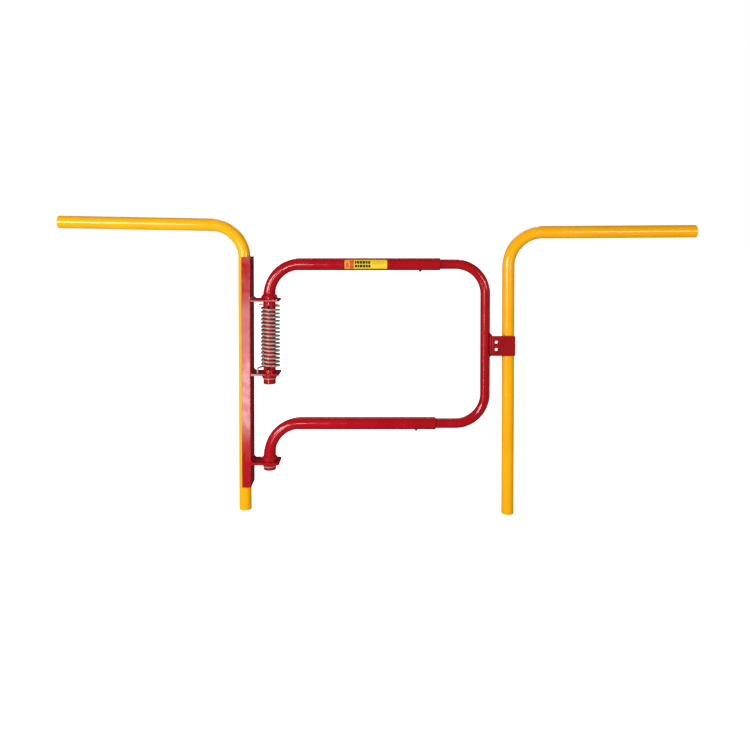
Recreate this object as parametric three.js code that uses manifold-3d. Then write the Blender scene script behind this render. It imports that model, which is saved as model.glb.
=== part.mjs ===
// Self-closing guard-rail gate, adjustable in width, hung between two bent pipe rails.
// Millimetres, +Z up, +X along the closed gate towards its latch side, +Y away from the approach side.
// Origin: axis of the hinge-side rail post, at the level of the lower of the two post feet.
import * as THREE from "three";
import { mergeVertices } from "three/addons/utils/BufferGeometryUtils.js";
import Module from "manifold-3d";

const wasm = await Module();
wasm.setup();

// ---------------------------------------------------------------- driving dimensions
const PIPE_R = 21.1; // 1 1/4 in pipe, 42.2 mm outside
const PIPE_BORE_R = 17.54; // 35.1 mm bore
const INNER_R = 16.7; // 1 in pipe, 33.4 mm outside
const INNER_BORE_R = 13.3;
const ROUND = 16; // facets round a pipe
const BEND_STEPS = 7; // facets along a right-angle bend
const GAP = 0.3; // clearance left between pieces that touch or nest

const LEFT_FOOT_Z = 15;
const LEFT_CORNER_Z = 992.4; // where the post axis meets the rail axis
const LEFT_END = [-634, 1004.3];
const LEFT_BEND_R = 116;

const RIGHT_POST_X = 904;
const RIGHT_FOOT_Z = 0;
const RIGHT_CORNER_Z = 968.2;
const RIGHT_END = [1544.2, 972.4];
const RIGHT_BEND_R = 118;

const CHANNEL_WEB_IN = 21.4; // inner face of the web, against the post
const CHANNEL_WEB_OUT = 26;
const CHANNEL_LIP = -5; // free edge of both flanges
const CHANNEL_HALF = 38.1; // 76.2 mm deep
const FLANGE_T = 4.6;
const CHANNEL_Z = [101.5, 885];
const CHANNEL_SCREW_Z = [302.2, 852.7];

const HINGE_X = 84.6;
const EAR_T = 7;
const EAR_X = [CHANNEL_WEB_OUT + GAP, 120];
const EAR_CORNER_R = 5;
const EAR_TOP = { upper: 741, middle: 489.1, lower: 183.9 };
const EAR_HOLE_R = PIPE_R + 0.4;
const EAR_WELD = 7;

const ARM_BEND_R = 106;
const UPPER_AXIS_Z = 859.6;
const LOWER_AXIS_Z = 311.7;
const UPPER_MOUTH_X = 670;
const LOWER_MOUTH_X = 655;
const UPPER_STUB_Z = 449;
const LOWER_STUB_Z = 152.7;

const COLLAR_R = 27.5;
const COLLAR_BODY = 8.7;
const COLLAR_WELD = 7;

const SPRING_WIRE_R = 3;
const SPRING_MEAN_R = 30;
const SPRING_SIDE = 3.6; // the loose coils hang this far towards the latch side
const SPRING_PITCH = 12.75;
const SPRING_TOP_Z = 706; // top coil, measured where it crosses the approach side
const SPRING_BOTTOM_Z = 516.6; // last coil, same place
const TANG_Z = 721;
const TANG_HOLE = [45.3, -13];

const SPRING_SCREW_Z = { upper: 713.5, lower: 504.4 };
const SCREW_R = 4;

const FRAME_AXIS_X = 825;
const FRAME_BEND_R = 102;
const FRAME_TAIL_X = 352;

const LOCK_X = { upper: 602, lower: 588.2 };

const STOP_T = 6;
const STOP_BACK_Y = -22;
const STOP_LEFT_X = FRAME_AXIS_X + INNER_R + 0.4;
const STOP_RIGHT_X = 924;
const STOP_Z = [548.3, 616.5];
const STOP_RETURN_Y = 9;
const STOP_HOLE_X = 859;
const STOP_HOLE_R = 5.2;
const STOP_HOLE_Z = [570.4, 595.2];

const LABEL_X = [343.7, 488];
const LABEL_R = [PIPE_R + 0.3, PIPE_R + 0.6];
const LABEL_HALF_ANGLE = 0.8;

// ---------------------------------------------------------------- finishes
const finish = (color, roughness, metalness) => () =>
  new THREE.MeshStandardMaterial({ color, roughness, metalness });
const YELLOW = finish(0xf5ac08, 0.34, 0.0);
const RED = finish(0xb30b1b, 0.32, 0.0);
const ZINC = finish(0xa3a29b, 0.42, 0.9);
const BLACK = finish(0x121214, 0.45, 0.4);
const LABEL = finish(0xf4cf10, 0.4, 0.0);

// ---------------------------------------------------------------- solids
function solid(geometry) {
  const g = geometry.clone();
  g.deleteAttribute("normal");
  g.deleteAttribute("uv");
  const m = mergeVertices(g, 1e-4);
  const make = (tris) =>
    new wasm.Manifold(
      new wasm.Mesh({
        numProp: 3,
        vertProperties: m.attributes.position.array,
        triVerts: tris,
      }),
    );
  const tris = new Uint32Array(m.index.array);
  const made = make(tris);
  if (made.volume() > 0) return made;
  for (let i = 0; i < tris.length; i += 3)
    [tris[i + 1], tris[i + 2]] = [tris[i + 2], tris[i + 1]];
  return make(tris);
}

function geometryOf(body) {
  const m = body.getMesh();
  const g = new THREE.BufferGeometry();
  const p = new Float32Array((m.vertProperties.length / m.numProp) * 3);
  for (let i = 0; i < p.length / 3; i++)
    for (let k = 0; k < 3; k++)
      p[3 * i + k] = m.vertProperties[m.numProp * i + k];
  g.setAttribute("position", new THREE.BufferAttribute(p, 3));
  g.setIndex(new THREE.BufferAttribute(new Uint32Array(m.triVerts), 1));
  g.computeVertexNormals();
  return g;
}

const rounded = (body) => geometryOf(body);
const flatFit = (r, n) => r / Math.cos(Math.PI / n); // corner radius of an n-gon with flats at r

function ring(rOut, rIn, n = ROUND) {
  const points = (r) =>
    Array.from({ length: n }, (_, i) => {
      const a = (2 * Math.PI * (i + 0.5)) / n;
      return new THREE.Vector2(r * Math.cos(a), r * Math.sin(a));
    });
  const shape = new THREE.Shape(points(rOut));
  if (rIn) shape.holes.push(new THREE.Path(points(rIn).reverse()));
  return shape;
}

// A curve that is sampled only at its own stations, so straight runs cost one step.
class Stations extends THREE.Curve {
  constructor(points, tangents) {
    super();
    this.points = points;
    this.tangents = tangents;
  }
  getPoint(t, target = new THREE.Vector3()) {
    return target.copy(
      this.points[Math.round(t * (this.points.length - 1))],
    );
  }
  getPointAt(t, target) {
    return this.getPoint(t, target);
  }
  getTangent(t, target = new THREE.Vector3()) {
    return target.copy(
      this.tangents[Math.round(t * (this.tangents.length - 1))],
    );
  }
  getTangentAt(t, target) {
    return this.getTangent(t, target);
  }
}

// Stations along a run of straight pipe with filleted corners, in the XZ plane.
function bentRun(corners, bendR, steps = BEND_STEPS) {
  const P = corners.map(([x, z]) => new THREE.Vector3(x, 0, z));
  const points = [P[0].clone()];
  const tangents = [P[1].clone().sub(P[0]).normalize()];
  for (let i = 1; i < P.length - 1; i++) {
    const a = P[i].clone().sub(P[i - 1]).normalize();
    const b = P[i + 1].clone().sub(P[i]).normalize();
    const turn = Math.acos(a.dot(b));
    const reach = bendR * Math.tan(turn / 2);
    const start = P[i].clone().addScaledVector(a, -reach);
    const inward = b.clone().addScaledVector(a, -a.dot(b)).normalize();
    for (let k = 0; k <= steps; k++) {
      const w = (turn * k) / steps;
      points.push(
        start
          .clone()
          .addScaledVector(a, bendR * Math.sin(w))
          .addScaledVector(inward, bendR * (1 - Math.cos(w))),
      );
      tangents.push(
        a
          .clone()
          .multiplyScalar(Math.cos(w))
          .addScaledVector(inward, Math.sin(w))
          .normalize(),
      );
    }
  }
  const n = P.length - 1;
  points.push(P[n].clone());
  tangents.push(P[n].clone().sub(P[n - 1]).normalize());
  return new Stations(points, tangents);
}

const along = (shape, run) =>
  new THREE.ExtrudeGeometry(shape, {
    steps: run.points.length - 1,
    extrudePath: run,
    bevelEnabled: false,
  });

// A round bar from one point to another.
function bar(from, to, r, n = 16) {
  const a = new THREE.Vector3(...from);
  const b = new THREE.Vector3(...to);
  const d = b.clone().sub(a);
  const g = new THREE.CylinderGeometry(r, r, d.length(), n);
  g.applyQuaternion(
    new THREE.Quaternion().setFromUnitVectors(
      new THREE.Vector3(0, 1, 0),
      d.clone().normalize(),
    ),
  );
  g.translate(...a.clone().add(b).multiplyScalar(0.5).toArray());
  return g;
}

// A turned piece about the Z axis: the profile is a closed loop of [radius, height].
function turned(profile, n) {
  const g = new THREE.LatheGeometry(
    profile.map(([r, z]) => new THREE.Vector2(r, z)),
    n,
  );
  g.rotateX(Math.PI / 2);
  return g;
}

// A flat shape in the XY plane, thickened upwards from z = 0.
const slab = (shape, depth, curveSegments = 6) =>
  new THREE.ExtrudeGeometry(shape, {
    depth,
    bevelEnabled: false,
    curveSegments,
  });

const box = (x0, x1, y0, y1, z0, z1) =>
  new THREE.BoxGeometry(x1 - x0, y1 - y0, z1 - z0).translate(
    (x0 + x1) / 2,
    (y0 + y1) / 2,
    (z0 + z1) / 2,
  );

const group = new THREE.Group();
const fixed = new THREE.Group();
const gate = new THREE.Group(); // turns about the vertical axis at HINGE_X
const slider = new THREE.Group(); // slides along X in the gate's sleeves
gate.position.x = HINGE_X;
group.add(fixed, gate);
gate.add(slider);

function put(parent, name, geometry, material, x = 0, y = 0, z = 0) {
  const mesh = new THREE.Mesh(geometry, material());
  mesh.name = name;
  mesh.position.set(x, y, z);
  parent.add(mesh);
  return mesh;
}

// ---------------------------------------------------------------- the two rails
{
  const run = bentRun(
    [[0, LEFT_FOOT_Z], [0, LEFT_CORNER_Z], LEFT_END],
    LEFT_BEND_R,
  );
  let body = solid(along(ring(PIPE_R, PIPE_BORE_R), run));
  for (const z of CHANNEL_SCREW_Z)
    body = body.subtract(solid(bar([10, 0, z], [26, 0, z], 5.4, 12)));
  put(fixed, "left_rail", rounded(body), YELLOW);
}
{
  const run = bentRun(
    [
      [0, RIGHT_FOOT_Z],
      [0, RIGHT_CORNER_Z],
      [RIGHT_END[0] - RIGHT_POST_X, RIGHT_END[1]],
    ],
    RIGHT_BEND_R,
  );
  put(
    fixed,
    "right_rail",
    along(ring(PIPE_R, PIPE_BORE_R), run),
    YELLOW,
    RIGHT_POST_X,
  );
}

// ---------------------------------------------------------------- mounting channel
{
  const o = 2.2; // outside corner radius
  const i = 4; // root radius
  const H = CHANNEL_HALF;
  const F = H - FLANGE_T;
  const s = new THREE.Shape();
  s.moveTo(CHANNEL_LIP, -H);
  s.lineTo(CHANNEL_WEB_OUT - o, -H);
  s.quadraticCurveTo(CHANNEL_WEB_OUT, -H, CHANNEL_WEB_OUT, -H + o);
  s.lineTo(CHANNEL_WEB_OUT, H - o);
  s.quadraticCurveTo(CHANNEL_WEB_OUT, H, CHANNEL_WEB_OUT - o, H);
  s.lineTo(CHANNEL_LIP, H);
  s.lineTo(CHANNEL_LIP, F);
  s.lineTo(CHANNEL_WEB_IN - i, F);
  s.quadraticCurveTo(CHANNEL_WEB_IN, F, CHANNEL_WEB_IN, F - i);
  s.lineTo(CHANNEL_WEB_IN, -F + i);
  s.quadraticCurveTo(CHANNEL_WEB_IN, -F, CHANNEL_WEB_IN - i, -F);
  s.lineTo(CHANNEL_LIP, -F);
  s.closePath();
  const length = CHANNEL_Z[1] - CHANNEL_Z[0];
  let body = solid(slab(s, length, 2));
  for (const z of CHANNEL_SCREW_Z) {
    const sink = turned(
      [
        [0, -6],
        [5.2, -6],
        [5.2, -0.3],
        [9.4, 4.3],
        [9.4, 8],
        [0, 8],
      ],
      14,
    );
    sink.rotateY(Math.PI / 2);
    sink.translate(CHANNEL_WEB_IN + 0.3, 0, z - CHANNEL_Z[0]);
    body = body.subtract(solid(sink));
  }
  put(
    fixed,
    "mounting_channel",
    rounded(body),
    RED,
    0,
    0,
    CHANNEL_Z[0],
  );
}

// Countersunk socket screws, through the web into the near wall of the post.
["lower", "upper"].forEach((where, k) => {
  const screw = turned(
    [
      [0, -10.5],
      [4.6, -10.5],
      [4.6, 0.2],
      [8.9, 4.5],
      [8.9, 4.6],
      [3.6, 4.6],
      [3.6, 1.8],
      [0, 1.8],
    ],
    12,
  );
  screw.rotateY(Math.PI / 2);
  put(
    fixed,
    `channel_screw_${where}`,
    screw,
    BLACK,
    CHANNEL_WEB_IN,
    0,
    CHANNEL_SCREW_Z[k],
  );
});

// ---------------------------------------------------------------- hinge ears
for (const where of ["upper", "middle", "lower"]) {
  const [x0, x1] = EAR_X;
  const H = CHANNEL_HALF;
  const r = EAR_CORNER_R;
  const s = new THREE.Shape();
  s.moveTo(x0, -H);
  s.lineTo(x1 - r, -H);
  s.absarc(x1 - r, -H + r, r, -Math.PI / 2, 0, false);
  s.absarc(x1 - r, H - r, r, 0, Math.PI / 2, false);
  s.lineTo(x0, H);
  s.closePath();
  const top = EAR_TOP[where];
  let body = solid(slab(s, EAR_T, 4));
  // fillet weld along the web, on the upper side
  const w = new THREE.Shape();
  w.moveTo(0, 0);
  w.lineTo(EAR_WELD, 0);
  w.quadraticCurveTo(EAR_WELD * 0.32, EAR_WELD * 0.32, 0, EAR_WELD);
  w.closePath();
  const weld = new THREE.ExtrudeGeometry(w, {
    depth: 2 * H - 8,
    bevelEnabled: false,
    curveSegments: 3,
  });
  weld.rotateX(Math.PI / 2);
  weld.translate(x0, H - 4, EAR_T - 0.05);
  body = body.add(solid(weld));
  body = body.subtract(
    solid(
      bar(
        [HINGE_X, 0, -5],
        [HINGE_X, 0, EAR_T + 5],
        flatFit(EAR_HOLE_R, 24),
        24,
      ),
    ),
  );
  if (where === "middle")
    body = body.subtract(
      solid(
        bar(
          [TANG_HOLE[0], TANG_HOLE[1], -5],
          [TANG_HOLE[0], TANG_HOLE[1], EAR_T + 5],
          3.8,
          10,
        ),
      ),
    );
  put(fixed, `${where}_ear`, rounded(body), RED, 0, 0, top - EAR_T);
}

// ---------------------------------------------------------------- swinging arms
const upperRun = () =>
  bentRun(
    [
      [UPPER_MOUTH_X - HINGE_X, UPPER_AXIS_Z],
      [0, UPPER_AXIS_Z],
      [0, UPPER_STUB_Z],
    ],
    ARM_BEND_R,
  );
const lowerRun = () =>
  bentRun(
    [
      [LOWER_MOUTH_X - HINGE_X, LOWER_AXIS_Z],
      [0, LOWER_AXIS_Z],
      [0, LOWER_STUB_Z],
    ],
    ARM_BEND_R,
  );
{
  let body = solid(along(ring(PIPE_R, PIPE_BORE_R), upperRun()));
  for (const z of Object.values(SPRING_SCREW_Z))
    body = body.subtract(
      solid(bar([0, -27, z], [0, -10, z], SCREW_R + 0.4, 12)),
    );
  body = body.subtract(
    solid(
      bar([-27, 0, TANG_Z], [27, 0, TANG_Z], SPRING_WIRE_R + 0.8, 10),
    ),
  );
  const x = LOCK_X.upper - HINGE_X;
  body = body.subtract(
    solid(
      bar(
        [x, 0, UPPER_AXIS_Z - 27],
        [x, 0, UPPER_AXIS_Z - 10],
        SCREW_R + 0.4,
        12,
      ),
    ),
  );
  put(gate, "upper_arm", rounded(body), RED);
}
{
  let body = solid(along(ring(PIPE_R, PIPE_BORE_R), lowerRun()));
  const x = LOCK_X.lower - HINGE_X;
  body = body.subtract(
    solid(
      bar(
        [x, 0, LOWER_AXIS_Z - 27],
        [x, 0, LOWER_AXIS_Z - 10],
        SCREW_R + 0.4,
        12,
      ),
    ),
  );
  put(gate, "lower_arm", rounded(body), RED);
}

// Collars welded to the pivot tube: above the upper and lower ears they carry the gate,
// below the middle and lower ears they keep it from lifting. Height runs from the ear outwards.
function collar(name, ear, side, run, height) {
  const body = Math.min(COLLAR_BODY, height - 5);
  const profile = [
    [19, 0],
    [COLLAR_R - 0.8, 0],
    [COLLAR_R, 0.8],
    [COLLAR_R, body],
    [COLLAR_R - (COLLAR_R - PIPE_R) * 0.62, body + (height - body) * 0.5],
    [PIPE_R + 0.9, height],
    [19, height],
  ];
  const points = profile.map(([r, h]) => [r, side * h]);
  points.push(points[0]);
  const z = ear + side * 0.4;
  const g = turned(side > 0 ? points : points.reverse(), 20);
  g.translate(0, 0, z);
  const cut = solid(g).subtract(
    solid(along(ring(PIPE_R + GAP), run)),
  );
  put(gate, name, rounded(cut), RED);
}
collar(
  "upper_thrust_collar",
  EAR_TOP.upper,
  1,
  upperRun(),
  COLLAR_BODY + COLLAR_WELD,
);
collar(
  "lower_thrust_collar",
  EAR_TOP.lower,
  1,
  lowerRun(),
  COLLAR_BODY + COLLAR_WELD,
);
collar(
  "middle_retaining_collar",
  EAR_TOP.middle - EAR_T,
  -1,
  upperRun(),
  11.6,
);
collar(
  "lower_retaining_collar",
  EAR_TOP.lower - EAR_T,
  -1,
  lowerRun(),
  9.4,
);

// Snap rings below the retaining collars.
for (const [name, z] of [
  ["middle_snap_ring", EAR_TOP.middle - EAR_T - 0.4 - 11.6 - GAP],
  ["lower_snap_ring", EAR_TOP.lower - EAR_T - 0.4 - 9.4 - GAP],
])
  put(
    gate,
    name,
    turned(
      [
        [PIPE_R + GAP, -2.6],
        [PIPE_R + 2.2, -2.6],
        [PIPE_R + 2.6, -2.2],
        [PIPE_R + 2.6, -0.4],
        [PIPE_R + 2.2, 0],
        [PIPE_R + GAP, 0],
        [PIPE_R + GAP, -2.6],
      ],
      20,
    ),
    ZINC,
    0,
    0,
    z,
  );

// Socket set screws. Head face at z = 0, tip at z = -length.
function setScrew(length) {
  return turned(
    [
      [0, -length],
      [SCREW_R - 0.8, -length],
      [SCREW_R, -length + 0.8],
      [SCREW_R, -0.5],
      [SCREW_R - 0.5, 0],
      [2.2, 0],
      [2.2, -2.2],
      [0, -2.2],
    ],
    12,
  );
}
for (const where of ["upper", "lower"]) {
  const g = setScrew(4.6);
  g.rotateX(Math.PI / 2); // head towards -Y
  put(
    gate,
    `${where}_spring_screw`,
    g,
    BLACK,
    0,
    -(PIPE_R + 0.2),
    SPRING_SCREW_Z[where],
  );
}
for (const [where, axisZ] of [
  ["upper", UPPER_AXIS_Z],
  ["lower", LOWER_AXIS_Z],
]) {
  const length = 8.6;
  const g = setScrew(length);
  g.rotateX(Math.PI); // head downwards
  put(
    gate,
    `${where}_lock_screw`,
    g,
    BLACK,
    LOCK_X[where] - HINGE_X,
    0,
    axisZ - INNER_R - 0.35 - length,
  );
}

// ---------------------------------------------------------------- torsion spring
{
  const c = (a) => Math.cos((a * Math.PI) / 180);
  const s = (a) => Math.sin((a * Math.PI) / 180);
  const R = SPRING_MEAN_R;
  // angle grows as the wire goes down; -90 deg faces the approach side
  const coilZ = (a) => SPRING_TOP_Z - (SPRING_PITCH * (a + 90)) / 360;
  const turns =
    Math.round((SPRING_TOP_Z - SPRING_BOTTOM_Z) / SPRING_PITCH) * 360;
  const first = -90 - 255; // leaves the coil just behind the latch side
  const last = -90 + turns + 242;
  const path = [];
  // end through the pivot tube
  path.push(new THREE.Vector3(-36, 0, TANG_Z));
  path.push(new THREE.Vector3(-22, 0, TANG_Z));
  path.push(new THREE.Vector3(0, 0, TANG_Z));
  path.push(new THREE.Vector3(16, 0, TANG_Z));
  path.push(new THREE.Vector3(23, 0.3, TANG_Z - 0.2));
  path.push(new THREE.Vector3(28.6, 2.6, TANG_Z - 2));
  const coil = [];
  for (let a = first; a < last - 1; a += 36)
    coil.push(
      new THREE.Vector3(SPRING_SIDE + R * c(a), R * s(a), coilZ(a)),
    );
  coil.push(
    new THREE.Vector3(
      SPRING_SIDE + R * c(last),
      R * s(last),
      coilZ(last),
    ),
  );
  path.push(...coil);
  // end hooked down into the middle ear
  const hx = TANG_HOLE[0] - HINGE_X;
  const hy = TANG_HOLE[1];
  const e = coil[coil.length - 1];
  const z = e.z - 1;
  path.push(
    new THREE.Vector3(
      e.x + (hx - e.x) * 0.5,
      e.y + (hy - e.y) * 0.5,
      z + 0.3,
    ),
  );
  path.push(
    new THREE.Vector3(
      hx + (e.x - hx) * 0.14,
      hy + (e.y - hy) * 0.14,
      z - 0.6,
    ),
  );
  path.push(new THREE.Vector3(hx, hy, z - 5));
  path.push(new THREE.Vector3(hx, hy, EAR_TOP.middle - 5.5));
  const tangents = path.map((p, i) =>
    path[Math.min(i + 1, path.length - 1)]
      .clone()
      .sub(path[Math.max(i - 1, 0)])
      .normalize(),
  );
  put(
    gate,
    "torsion_spring",
    along(ring(SPRING_WIRE_R, 0, 6), new Stations(path, tangents)),
    ZINC,
  );
}

// ---------------------------------------------------------------- sliding inner frame
put(
  slider,
  "inner_frame",
  along(
    ring(INNER_R, INNER_BORE_R),
    bentRun(
      [
        [FRAME_TAIL_X, UPPER_AXIS_Z],
        [FRAME_AXIS_X, UPPER_AXIS_Z],
        [FRAME_AXIS_X, LOWER_AXIS_Z],
        [FRAME_TAIL_X, LOWER_AXIS_Z],
      ],
      FRAME_BEND_R,
    ),
  ),
  RED,
  -HINGE_X,
);

// Stop plate: a bent angle welded to the upright, lying against the latch-side post.
{
  const y1 = STOP_BACK_Y;
  const y0 = y1 - STOP_T;
  const xl = STOP_LEFT_X;
  const s = new THREE.Shape();
  s.moveTo(xl, STOP_RETURN_Y);
  s.lineTo(xl, y0 + 6);
  s.quadraticCurveTo(xl, y0, xl + 6, y0);
  s.lineTo(STOP_RIGHT_X, y0);
  s.lineTo(STOP_RIGHT_X, y1);
  s.lineTo(xl + STOP_T + 1.5, y1);
  s.quadraticCurveTo(xl + STOP_T, y1, xl + STOP_T, y1 + 1.5);
  s.lineTo(xl + STOP_T, STOP_RETURN_Y);
  s.closePath();
  const tall = STOP_Z[1] - STOP_Z[0];
  let body = solid(slab(s, tall, 4));
  // rounded corners at the free edge
  const r = 4.5;
  const f = new THREE.Shape();
  f.moveTo(xl - 5, 0);
  f.lineTo(STOP_RIGHT_X - r, 0);
  f.absarc(STOP_RIGHT_X - r, r, r, -Math.PI / 2, 0, false);
  f.absarc(STOP_RIGHT_X - r, tall - r, r, 0, Math.PI / 2, false);
  f.lineTo(xl - 5, tall);
  f.closePath();
  const frame = slab(f, 80, 4);
  frame.rotateX(Math.PI / 2);
  frame.translate(0, 40, 0);
  body = body.intersect(solid(frame));
  // end welds where the return leaf meets the upright
  for (const up of [true, false]) {
    const w = new THREE.Shape();
    w.moveTo(xl, up ? tall - 1 : 1);
    w.lineTo(xl + 7, up ? tall - 1 : 1);
    w.lineTo(xl + 6.2, up ? tall + 0.6 : -0.6);
    w.lineTo(xl + 0.8, up ? tall + 6.4 : -6.4);
    w.lineTo(xl, up ? tall + 6.8 : -6.8);
    w.closePath();
    const weld = slab(w, 14, 2);
    weld.rotateX(Math.PI / 2);
    weld.translate(0, 6, 0);
    const cut = solid(weld).subtract(
      solid(box(xl + STOP_T - 0.01, xl + 40, -60, 60, -20, tall + 20)),
    );
    body = body.add(cut);
  }
  for (const z of STOP_HOLE_Z)
    body = body.subtract(
      solid(
        bar(
          [STOP_HOLE_X, y0 - 5, z - STOP_Z[0]],
          [STOP_HOLE_X, y1 + 5, z - STOP_Z[0]],
          STOP_HOLE_R,
          16,
        ),
      ),
    );
  put(
    slider,
    "stop_plate",
    rounded(body),
    RED,
    -HINGE_X,
    0,
    STOP_Z[0],
  );
}

// ---------------------------------------------------------------- label on the upper sleeve
{
  const [x0, x1] = LABEL_X;
  const n = 10;
  const at = (r, k) => {
    const a = -LABEL_HALF_ANGLE + (2 * LABEL_HALF_ANGLE * k) / n;
    return new THREE.Vector2(-r * Math.cos(a), r * Math.sin(a));
  };
  const outline = [];
  for (let k = 0; k <= n; k++) outline.push(at(LABEL_R[1], k));
  for (let k = n; k >= 0; k--) outline.push(at(LABEL_R[0], k));
  const g = slab(new THREE.Shape(outline), x1 - x0);
  // shape x is world Y, shape y is world Z, depth is world X
  g.applyMatrix4(
    new THREE.Matrix4().makeBasis(
      new THREE.Vector3(0, 1, 0),
      new THREE.Vector3(0, 0, 1),
      new THREE.Vector3(1, 0, 0),
    ),
  );
  put(gate, "sleeve_label", g, LABEL, x0 - HINGE_X, 0, UPPER_AXIS_Z);
}

export default group;
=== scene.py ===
"""Self-closing guard-rail gate between two bent pipe rails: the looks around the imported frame."""

import math

import bmesh
import bpy
import numpy as np
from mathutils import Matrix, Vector
from mathutils.geometry import tessellate_polygon


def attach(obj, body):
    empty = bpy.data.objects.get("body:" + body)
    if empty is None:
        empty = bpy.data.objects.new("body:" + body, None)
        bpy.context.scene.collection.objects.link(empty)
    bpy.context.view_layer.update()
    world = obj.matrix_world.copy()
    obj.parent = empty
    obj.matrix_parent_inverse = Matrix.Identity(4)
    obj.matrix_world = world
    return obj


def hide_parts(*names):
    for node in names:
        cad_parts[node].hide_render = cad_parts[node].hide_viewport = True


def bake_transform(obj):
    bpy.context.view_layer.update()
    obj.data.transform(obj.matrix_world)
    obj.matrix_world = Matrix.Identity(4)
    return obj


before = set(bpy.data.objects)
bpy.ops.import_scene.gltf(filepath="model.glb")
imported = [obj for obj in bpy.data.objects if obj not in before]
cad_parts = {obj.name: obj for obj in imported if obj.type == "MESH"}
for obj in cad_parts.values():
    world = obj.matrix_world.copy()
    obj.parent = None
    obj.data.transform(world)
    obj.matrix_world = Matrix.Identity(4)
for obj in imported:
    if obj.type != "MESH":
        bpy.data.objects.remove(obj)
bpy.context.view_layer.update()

MM = 0.001
POSTS, GATE, SLIDE = "posts_and_bracket", "gate_arms", "sliding_frame"

# ------------------------------------------------------------------ camera
scene = bpy.context.scene
cam_data = bpy.data.cameras.new("camera")
cam = bpy.data.objects.new("camera", cam_data)
scene.collection.objects.link(cam)
scene.camera = cam
FOCAL_PX, PITCH = 706.59, 0.0227
cam.location = (0.44691, -2.419, 0.98104)
cam.rotation_euler = (math.pi / 2 - PITCH, 0.0, 0.0)
cam_data.sensor_width = 36.0
cam_data.lens = FOCAL_PX / 750.0 * 36.0
cam_data.shift_x = 0.0
cam_data.shift_y = -(375.0 - 244.72) / 750.0
cam_data.clip_start = 0.02
cam_data.clip_end = 200.0
scene.view_settings.view_transform = "Standard"
scene.view_settings.look = "None"
scene.view_settings.exposure = 0.0
scene.view_settings.gamma = 1.0

# ------------------------------------------------------------------ dimensions, mm
PIPE_R, PIPE_BORE_R = 21.1, 17.54
INNER_R, INNER_BORE_R = 16.7, 13.3
HINGE_X = 84.6
UPPER_Z, LOWER_Z = 859.6, 311.7
EAR_TOP = {"upper": 741.0, "middle": 489.1, "lower": 183.9}
EAR_T = 7.0
CHANNEL_Z = (101.5, 885.0)
WEB_IN, WEB_OUT, LIP, HALF, FLANGE_T = 21.4, 26.0, -5.0, 38.1, 4.6
CHANNEL_SCREW_Z = (302.2, 852.7)
STOP_Z = (548.3, 616.5)
STOP_LEFT_X, STOP_RIGHT_X, STOP_FRONT_Y, STOP_T = 842.1, 924.0, -28.0, 6.0


# ------------------------------------------------------------------ node materials
def material(name, color, rough, metal=0.0, coat=0.0, specular=0.5):
    m = bpy.data.materials.new(name)
    m.use_nodes = True
    nt = m.node_tree
    bsdf = nt.nodes["Principled BSDF"]
    bsdf.inputs["Base Color"].default_value = (*color, 1.0)
    bsdf.inputs["Roughness"].default_value = rough
    bsdf.inputs["Metallic"].default_value = metal
    bsdf.inputs["Specular IOR Level"].default_value = specular
    if coat:
        bsdf.inputs["Coat Weight"].default_value = coat
        bsdf.inputs["Coat Roughness"].default_value = 0.12
    return m, nt, bsdf


def coords(nt, scale=(1, 1, 1)):
    tc = nt.nodes.new("ShaderNodeTexCoord")
    mp = nt.nodes.new("ShaderNodeMapping")
    mp.inputs["Scale"].default_value = scale
    nt.links.new(tc.outputs["Object"], mp.inputs["Vector"])
    return mp.outputs["Vector"]


def noise(nt, vec, scale, detail=2.0, rough=0.5):
    n = nt.nodes.new("ShaderNodeTexNoise")
    n.inputs["Scale"].default_value = scale
    n.inputs["Detail"].default_value = detail
    n.inputs["Roughness"].default_value = rough
    nt.links.new(vec, n.inputs["Vector"])
    return n.outputs["Fac"]


def ramp(nt, fac, lo, hi, a=0.0, b=1.0):
    r = nt.nodes.new("ShaderNodeMapRange")
    r.interpolation_type = "SMOOTHSTEP"
    r.inputs["From Min"].default_value = lo
    r.inputs["From Max"].default_value = hi
    r.inputs["To Min"].default_value = a
    r.inputs["To Max"].default_value = b
    nt.links.new(fac, r.inputs["Value"])
    return r.outputs["Result"]


def mix(nt, fac, a, b):
    n = nt.nodes.new("ShaderNodeMix")
    n.data_type = "RGBA"
    for key, value in (("A", a), ("B", b)):
        socket = [s for s in n.inputs if s.name == key and s.type == "RGBA"][0]
        if isinstance(value, tuple):
            socket.default_value = (*value, 1.0)
        else:
            nt.links.new(value, socket)
    nt.links.new(fac, [s for s in n.inputs if s.name == "Factor"][0])
    return [s for s in n.outputs if s.type == "RGBA"][0]


def bump(nt, height, distance, strength=1.0, after=None):
    b = nt.nodes.new("ShaderNodeBump")
    b.inputs["Strength"].default_value = strength
    b.inputs["Distance"].default_value = distance
    nt.links.new(height, b.inputs["Height"])
    if after is not None:
        nt.links.new(after, b.inputs["Normal"])
    return b.outputs["Normal"]


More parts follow.
